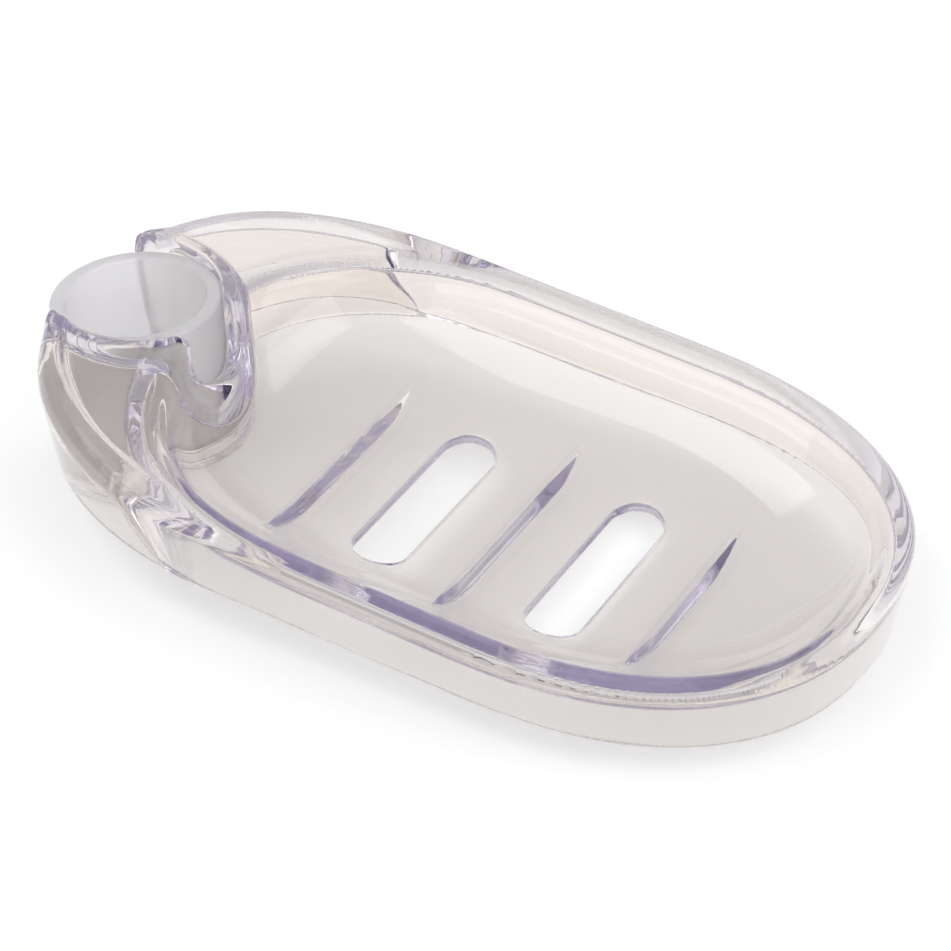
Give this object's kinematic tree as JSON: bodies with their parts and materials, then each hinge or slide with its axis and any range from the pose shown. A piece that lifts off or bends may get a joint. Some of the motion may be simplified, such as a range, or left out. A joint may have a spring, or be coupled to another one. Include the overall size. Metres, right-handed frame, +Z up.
{
  "type": "soap dish",
  "caption": "Clear oval soap dish with drain slots and ribs, and a split collar with a reducing sleeve that grips a shower riser rail.",
  "frame": {"origin": "centre of the bounding box in plan, on the plane that the collar's foot and the basin's nose stand on", "axes": "+X from the rail collar to the basin's nose, +Y across, +Z up; the basin's floor leans 3.2 degrees nose down from level, and the rail's axis leans 3.8 degrees back from vertical"},
  "size_m": [0.143, 0.0832, 0.0269],
  "materials": {
    "clear_plastic": "clear, polished",
    "frosted_plastic": "frosted, translucent"
  },
  "bodies": {
    "dish": {"dish_body": "clear_plastic"},
    "sleeve": {"rail_sleeve": "frosted_plastic"}
  },
  "joints": [
    {"name": "sleeve_slide", "type": "slide", "parent": "dish", "child": "sleeve", "axis": [-0.066, 0, 0.9978], "range_m": [0, 0.026]}
  ]
}
